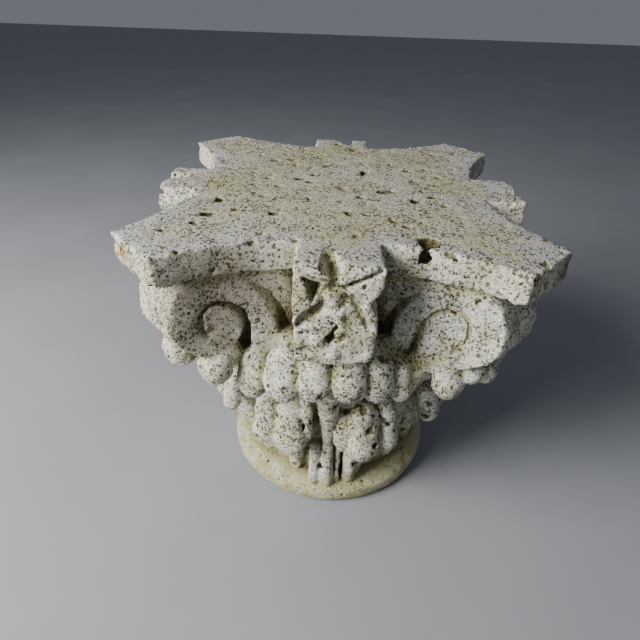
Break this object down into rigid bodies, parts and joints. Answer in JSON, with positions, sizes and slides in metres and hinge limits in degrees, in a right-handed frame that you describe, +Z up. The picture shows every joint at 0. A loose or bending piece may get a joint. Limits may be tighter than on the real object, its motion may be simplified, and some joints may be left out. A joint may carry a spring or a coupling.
{
  "type": "corinthian capital",
  "caption": "Column capital carved from one block of porous stone: a hollow-sided abacus over volutes, flowers and tiers of leaves on a bell with a round base ring.",
  "frame": {"origin": "centre of the round underside of the base ring, on the surface that the capital stands on", "axes": "+Z up from the base ring to the abacus, -Y out of the front face, through the middle of its flower, +X to the right seen from the front"},
  "size_m": [0.5, 0.5, 0.48],
  "materials": {
    "stone": "porous and weathered, matte"
  },
  "bodies": {
    "root": {"capital": "stone"}
  },
  "joints": []
}
